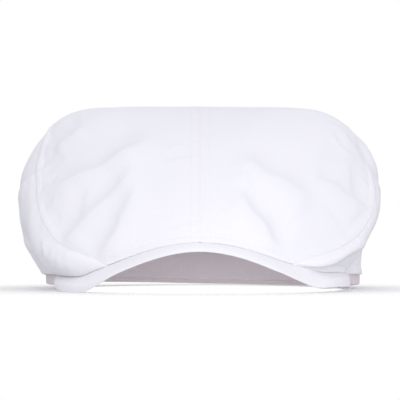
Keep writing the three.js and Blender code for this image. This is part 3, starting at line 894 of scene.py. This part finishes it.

# %% [markdown]
# ## Finishes
# Twill shows as fine diagonal ribs, with threads of uneven thickness and a soft bloom of fibres. The
# ribs follow each panel's own map in metres, so they bend with its form. The valleys between the ribs
# are painted darker as shade. Near hems and seams the cloth is darker, partly from handling and partly
# as painted shade, and at the peak's corners as painted shade. An image of twill would repeat, and
# would need a file.

# %% Node helpers
class Nodes:
    """A node tree under construction. Most methods add a node and return its output."""

    def __init__(self, tree):
        self.nodes, self.links = tree.nodes, tree.links

    def feed(self, node, inputs):
        """Gives a node's sockets plain values or the outputs of other nodes."""
        for key, value in inputs.items():
            if isinstance(value, bpy.types.NodeSocket):
                self.links.new(value, node.inputs[key])
            else:
                node.inputs[key].default_value = value
        return node

    def add(self, kind, inputs=None, **settings):
        node = self.nodes.new(kind)
        for key, value in settings.items():
            setattr(node, key, value)
        return self.feed(node, inputs or {})

    def math(self, operation, a, b):
        return self.add("ShaderNodeMath", {0: a, 1: b}, operation=operation).outputs[0]

    def mixed(self, a, b, share):
        return self.math("ADD", self.math("MULTIPLY", a, 1 - share), self.math("MULTIPLY", b, share))

    def stretched(self, vector, scale):
        return self.add("ShaderNodeMapping", {"Vector": vector, "Scale": scale}).outputs["Vector"]

    def noise(self, vector, scale, detail=2.0, rough=0.5):
        inputs = {"Vector": vector, "Scale": scale, "Detail": detail, "Roughness": rough}
        return self.add("ShaderNodeTexNoise", inputs).outputs["Fac"]

    def bands(self, vector, pitch, direction):
        """Straight ribs, one for each pitch in metres."""
        inputs = {"Vector": vector, "Scale": math.tau / (20 * pitch), "Distortion": 0.6, "Detail Scale": 2}
        return self.add("ShaderNodeTexWave", inputs, bands_direction=direction).outputs["Fac"]

    def blend(self, factor, a, b):
        return self.add("ShaderNodeMix", {0: factor, 6: a, 7: b}, data_type="RGBA").outputs[2]

    def ranged(self, value, low, high, start=0.0, stop=1.0, kind="LINEAR"):
        """Low where value is at start, high where it is at stop."""
        inputs = {"Value": value, "From Min": start, "From Max": stop, "To Min": low, "To Max": high}
        return self.add("ShaderNodeMapRange", inputs, interpolation_type=kind).outputs["Result"]

    def length(self, vector):
        return self.add("ShaderNodeVectorMath", {0: vector}, operation="LENGTH").outputs["Value"]

    def bump(self, height, deep, strength, normal=None):
        inputs = {"Height": height, "Distance": deep, "Strength": strength}
        if normal:
            inputs["Normal"] = normal
        return self.add("ShaderNodeBump", inputs).outputs["Normal"]


class Finish(Nodes):
    """The node tree of a new material, with its shader."""

    def __init__(self, name):
        self.material = bpy.data.materials.new(name)
        self.material.use_nodes = True
        super().__init__(self.material.node_tree)
        self.shader = self.nodes["Principled BSDF"]


# %% Cotton finish
def cotton(name, colour, valley, soil_and_shade_tone, pitch, sheen, rib_deep):
    """Woven cotton: diagonal ribs with painted shade in their valleys, uneven threads, faint colour
    changes, and edges darkened partly by handling and partly as painted shade.
    """
    finish = Finish(name)
    cloth = finish.add("ShaderNodeUVMap", uv_map="cloth").outputs["UV"]
    place = finish.add("ShaderNodeTexCoord").outputs["Object"]
    ribs = finish.bands(finish.stretched(cloth, (1, 0.7, 1)), pitch, "DIAGONAL")
    threads = finish.bands(cloth, pitch * 0.9, "Y")
    lengths = [finish.stretched(cloth, size) for size in ((260, 2600, 1), (2600, 220, 1))]
    weave = finish.mixed(ribs, threads, 0.3)
    slubs = finish.mixed(*(finish.noise(vector, 1.0, 3.0, 0.6) for vector in lengths), 0.5)
    crumple = finish.noise(place, 420, 3.0, 0.55)
    patches = finish.noise(place, 17, 2.0, 0.5)
    # This attribute darkens the cloth near hems and seams, partly for handling and partly as painted
    # shade, and at the peak's corners as painted shade.
    wear_and_shade = finish.add("ShaderNodeAttribute", attribute_name="wear_and_shade").outputs["Fac"]
    # Painted shade: the valleys between the ribs take the darker valley colour, and so do the thin places
    # of the threads.
    toned = finish.blend(finish.ranged(weave, 0.0, 1.0), (*valley, 1), (*colour, 1))
    toned = finish.blend(finish.ranged(slubs, 0.12, -0.06), toned, (*valley, 1))
    toned = finish.blend(finish.ranged(patches, 0.3, -0.1), toned, (*soil_and_shade_tone, 1))
    soil_and_shade = finish.math("MULTIPLY", wear_and_shade, finish.ranged(crumple, 0.15, 0.6))
    normal = finish.bump(crumple, 0.00025, 0.35)
    normal = finish.bump(slubs, 0.00012, 0.5, normal)
    finish.feed(finish.shader, {
        "Base Color": finish.blend(soil_and_shade, toned, (*soil_and_shade_tone, 1)),
        "Roughness": finish.ranged(weave, 0.98, 0.86),
        "Normal": finish.bump(weave, rib_deep, 0.6, normal),
        "Sheen Weight": sheen,
        "Sheen Roughness": 0.55,
        "Specular IOR Level": 0.25,
    })
    return finish.material


# The colours of ribs, of their valleys (painted shade) and of rubbed places (also painted shade at the
# seams and the peak's corners), the pitch of the ribs in metres, and the sheen.
WHITE = (0.86, 0.86, 0.885), (0.80, 0.80, 0.84), (0.80, 0.79, 0.81), 0.0007, 0.12
TAUPE = (0.77, 0.70, 0.72), (0.67, 0.61, 0.63), (0.58, 0.53, 0.55), 0.0006, 0.1
white_twill = cotton("white_twill", *WHITE, rib_deep=0.00010)
peak_twill = cotton("peak_twill", *WHITE, rib_deep=0.00008)
taupe_cotton = cotton("taupe_cotton", *TAUPE, rib_deep=0.00010)

# %% [markdown]
# ## Thread
# Sewing thread is two or three strands twisted together, smoother and a touch brighter than cloth. A
# plain colour would do at this size, but then the rows would look painted on from near by.

# %% Thread finish
def thread(name, colour, groove_shade_colour):
    finish = Finish(name)
    place = finish.add("ShaderNodeTexCoord").outputs["Object"]
    twist = finish.bands(place, 0.0005, "DIAGONAL")
    strands = finish.mixed(twist, finish.noise(place, 3000), 0.4)
    # Painted shade: the grooves between the strands take a darker colour than the strands.
    finish.feed(finish.shader, {
        "Base Color": finish.blend(strands, (*groove_shade_colour, 1), (*colour, 1)),
        "Roughness": finish.ranged(strands, 0.75, 0.6),
        "Normal": finish.bump(strands, 0.00006, 0.6),
        "Sheen Weight": 0.1,
    })
    return finish.material


white_thread = thread("white_thread", (0.86, 0.86, 0.89), (0.72, 0.72, 0.78))
taupe_thread = thread("taupe_thread", (0.66, 0.60, 0.62), (0.5, 0.45, 0.47))

# %% [markdown]
# ## Riding on the frame
# Each fine piece stands for its plain solid, which stays in the frame, hidden, for weight and contact.

# %% Pieces
PIECES = [  # piece, material, slot, plain solid that it stands for
    (top_left, white_twill, "white_twill", "top_panel_left"),
    (top_right, white_twill, "white_twill", "top_panel_right"),
    (side_left, white_twill, "white_twill", "side_panel_left"),
    (side_right, white_twill, "white_twill", "side_panel_right"),
    (peak, peak_twill, "peak_twill", "peak"),
    (band, taupe_cotton, "taupe_cotton", "sweatband"),
    *((rows, white_thread, "white_twill", None) for rows in (centre_rows, side_rows, hem_rows, rim_rows)),
    (band_row, taupe_thread, "taupe_cotton", None),
]
for piece, material, slot, node in PIECES:
    piece.data.materials.append(material)
    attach(piece, "root")
    if node:
        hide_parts(node)
print(len(PIECES), "pieces ride on the frame")

# %% [markdown]
# ## Sizes of the cut cloth
# Each panel's flat size is written down here without seam allowances, and its area is printed beside
# the area of the sewn panel. A real pattern would be traced, but these are measured on the shape itself.

# %% Cut sizes
CUTS = [  # piece, width, length and area in millimetres, how it is held, and by what
    (top_left, 108, 277, 24700, "stretched", [peak, side_left]),
    (top_right, 118, 277, 25400, "stretched", [peak, side_right]),
    (side_left, 102, 337, 22400, "stretched", [band, peak]),
    (side_right, 102, 337, 21100, "stretched", [band, peak]),
    (band, 28, 626, 17528, "folded", [side_left, side_right]),
]
for piece, wide, long, area, held, held_by in CUTS:
    worked = sum(face.area for face in piece.data.polygons) / 2 / (MM * MM)
    print(f"{piece.name}: cut {area} square mm, sewn {worked:.0f}")

# %% [markdown]
# ## Studio
# The photograph is a pale studio shot with soft light from all round, mostly from the front. The floor
# fades into that white, so that no horizon shows. It is open under the cap, because the photograph is
# white there too, and a weak lamp below lights the band's inside. A closed floor would be simpler, but
# it would show a dark stripe under the arch of the peak.

# %% Floor
FLOOR_RADIUS = 1.5
FLOOR_PALE = 0.07  # metres from the middle where the floor starts to fade into the white
FLOOR_GONE = 0.2
HOLE_MIDDLE = (0.0017, -0.011, 0.0)
HOLE_SIZE = (0.086, 0.124, 1.0)  # half the width and half the length of the opening
HOLE_EDGE = 0.93  # the share of that size where the soft edge of the opening starts

floor_mesh = bpy.data.meshes.new("floor")
around = np.linspace(0, math.tau, 64, endpoint=False)
ring = [(FLOOR_RADIUS * math.cos(a), FLOOR_RADIUS * math.sin(a), -0.0002) for a in around]
floor_mesh.from_pydata(ring, [], [list(range(len(ring)))])
floor = added("floor", floor_mesh)
paint = Finish("floor_paint")
spot = paint.add("ShaderNodeTexCoord").outputs["Object"]
hole = {"Vector": spot, "Location": HOLE_MIDDLE, "Scale": HOLE_SIZE}
from_hole = paint.add("ShaderNodeMapping", hole, vector_type="TEXTURE").outputs["Vector"]
faded = paint.ranged(paint.length(spot), 0, 1, FLOOR_PALE, FLOOR_GONE, "SMOOTHSTEP")
opened = paint.ranged(paint.length(from_hole), 0, 1, 1, HOLE_EDGE, "SMOOTHSTEP")
paint.feed(paint.shader, {
    "Base Color": (0.78, 0.78, 0.78, 1),
    "Emission Color": (1, 1, 1, 1),
    "Emission Strength": 0.06,
    "Roughness": 0.9,
})
clear = paint.add("ShaderNodeBsdfTransparent").outputs[0]
seen = {0: paint.math("MAXIMUM", faded, opened), 1: paint.shader.outputs[0], 2: clear}
mix = paint.add("ShaderNodeMixShader", seen)
paint.feed(paint.nodes["Material Output"], {"Surface": mix.outputs[0]})
floor_mesh.materials.append(paint.material)
floor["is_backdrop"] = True

# %% Lights
LIGHTS = [  # name, place, width, height, watts, colour
    ("low_strip", (-0.1, -2.0, 0.045), 0.9, 0.07, 7.5, (1.0, 0.99, 0.99)),
    ("front", (0.0, -2.4, 0.9), 1.6, 1.2, 13, (1.0, 0.995, 0.98)),
    ("below", (0.0, 0.02, -0.3), 0.14, 0.14, 0.62, (1.0, 0.99, 0.99)),
    ("right", (1.8, -1.2, 0.3), 0.8, 0.6, 4, (1.0, 0.995, 0.98)),
]
STUDIO_SHADE = (0.985, 0.98, 1.04)
STUDIO_LEVEL = 0.855
STUDIO_LOW = 0.5  # and its level from below

for name, place, wide, high, watts, colour in LIGHTS:
    lamp = bpy.data.lights.new(name, "AREA")
    lamp.shape = "RECTANGLE"
    lamp.size, lamp.size_y = wide, high
    lamp.energy = watts
    lamp.color = colour
    light = added(name, lamp)
    light.location = place
    light.rotation_euler = (Vector((0, 0, 0.05)) - Vector(place)).to_track_quat("-Z", "Y").to_euler()
    light.visible_camera = False

world = bpy.data.worlds.new("studio")
scene.world = world
world.use_nodes = True
sky = Nodes(world.node_tree)
way = sky.add("ShaderNodeTexCoord").outputs["Generated"]
upwards = sky.add("ShaderNodeSeparateXYZ", {0: way}).outputs["Z"]
level = sky.ranged(upwards, STUDIO_LOW, STUDIO_LEVEL, -0.15, 0.05)
shade = sky.feed(sky.nodes["Background"], {"Color": (*STUDIO_SHADE, 1), "Strength": level})
white = sky.add("ShaderNodeBackground", {"Color": (1, 1, 1, 1)})
to_camera = sky.add("ShaderNodeLightPath").outputs["Is Camera Ray"]
choice = sky.add("ShaderNodeMixShader", {0: to_camera, 1: shade.outputs[0], 2: white.outputs[0]})
sky.feed(sky.nodes["World Output"], {"Surface": choice.outputs[0]})
scene.view_settings.view_transform = "Standard"
scene.view_settings.look = "None"

# %% [markdown]
# ## Sizes
# Both boxes are printed, the frame's and the fine cap's. The fine cap may stand only a little
# proud of its frame.

# %% Print the boxes and finish
fine_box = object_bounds()
for corners in zip(cad_box, fine_box):
    print("frame and fine:", *[[round(value / MM, 1) for value in corner] for corner in corners])
